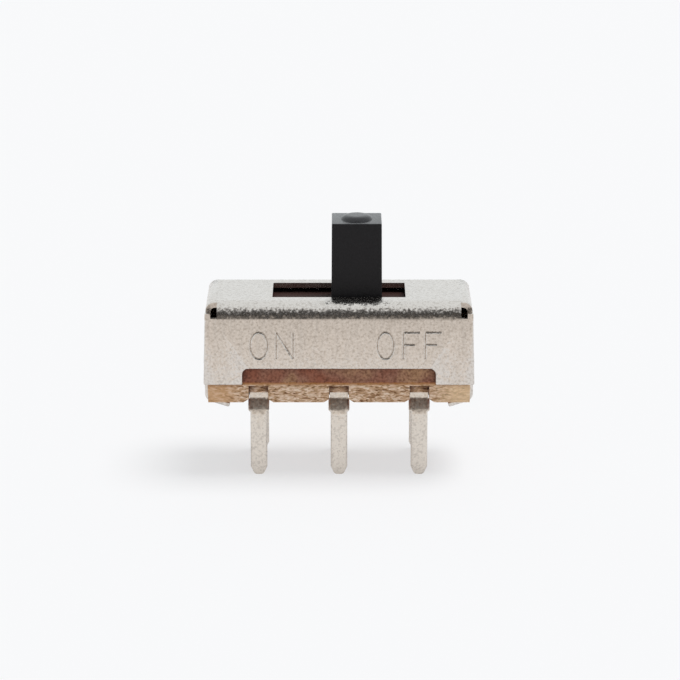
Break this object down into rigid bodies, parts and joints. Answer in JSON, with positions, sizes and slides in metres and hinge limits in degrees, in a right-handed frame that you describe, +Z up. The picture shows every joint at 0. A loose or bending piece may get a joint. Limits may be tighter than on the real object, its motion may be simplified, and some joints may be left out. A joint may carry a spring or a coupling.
{
  "type": "slide switch",
  "caption": "Miniature slide switch: folded metal frame over a laminate terminal board, black slider with an upright handle, and two rows of bent pins for a circuit board.",
  "frame": {"origin": "under the middle of the switch, on the plane of the pin tips", "axes": "+X along the slide towards the OFF side, +Y from front to back, +Z up to the handle"},
  "size_m": [0.0084, 0.0036, 0.008],
  "materials": {
    "nickel_plate": "nickel-plated sheet steel, satin",
    "laminate": "punched paper-phenolic laminate",
    "plated_brass": "silver-grey plating, satin",
    "black_plastic": "moulded, fine satin",
    "spring_bronze": "rolled spring strip"
  },
  "bodies": {
    "housing": {"frame": "nickel_plate", "terminal_board": "laminate", "terminal_front_left": "plated_brass", "terminal_front_middle": "plated_brass", "terminal_front_right": "plated_brass", "terminal_rear_left": "plated_brass", "terminal_rear_middle": "plated_brass", "terminal_rear_right": "plated_brass"},
    "slide": {"slider": "black_plastic", "contact_clip_front": "spring_bronze", "contact_clip_rear": "spring_bronze"}
  },
  "joints": [
    {"name": "slide_travel", "type": "slide", "parent": "housing", "child": "slide", "axis": [1, 0, 0], "range_m": [-0.00155, 0.00045]}
  ]
}
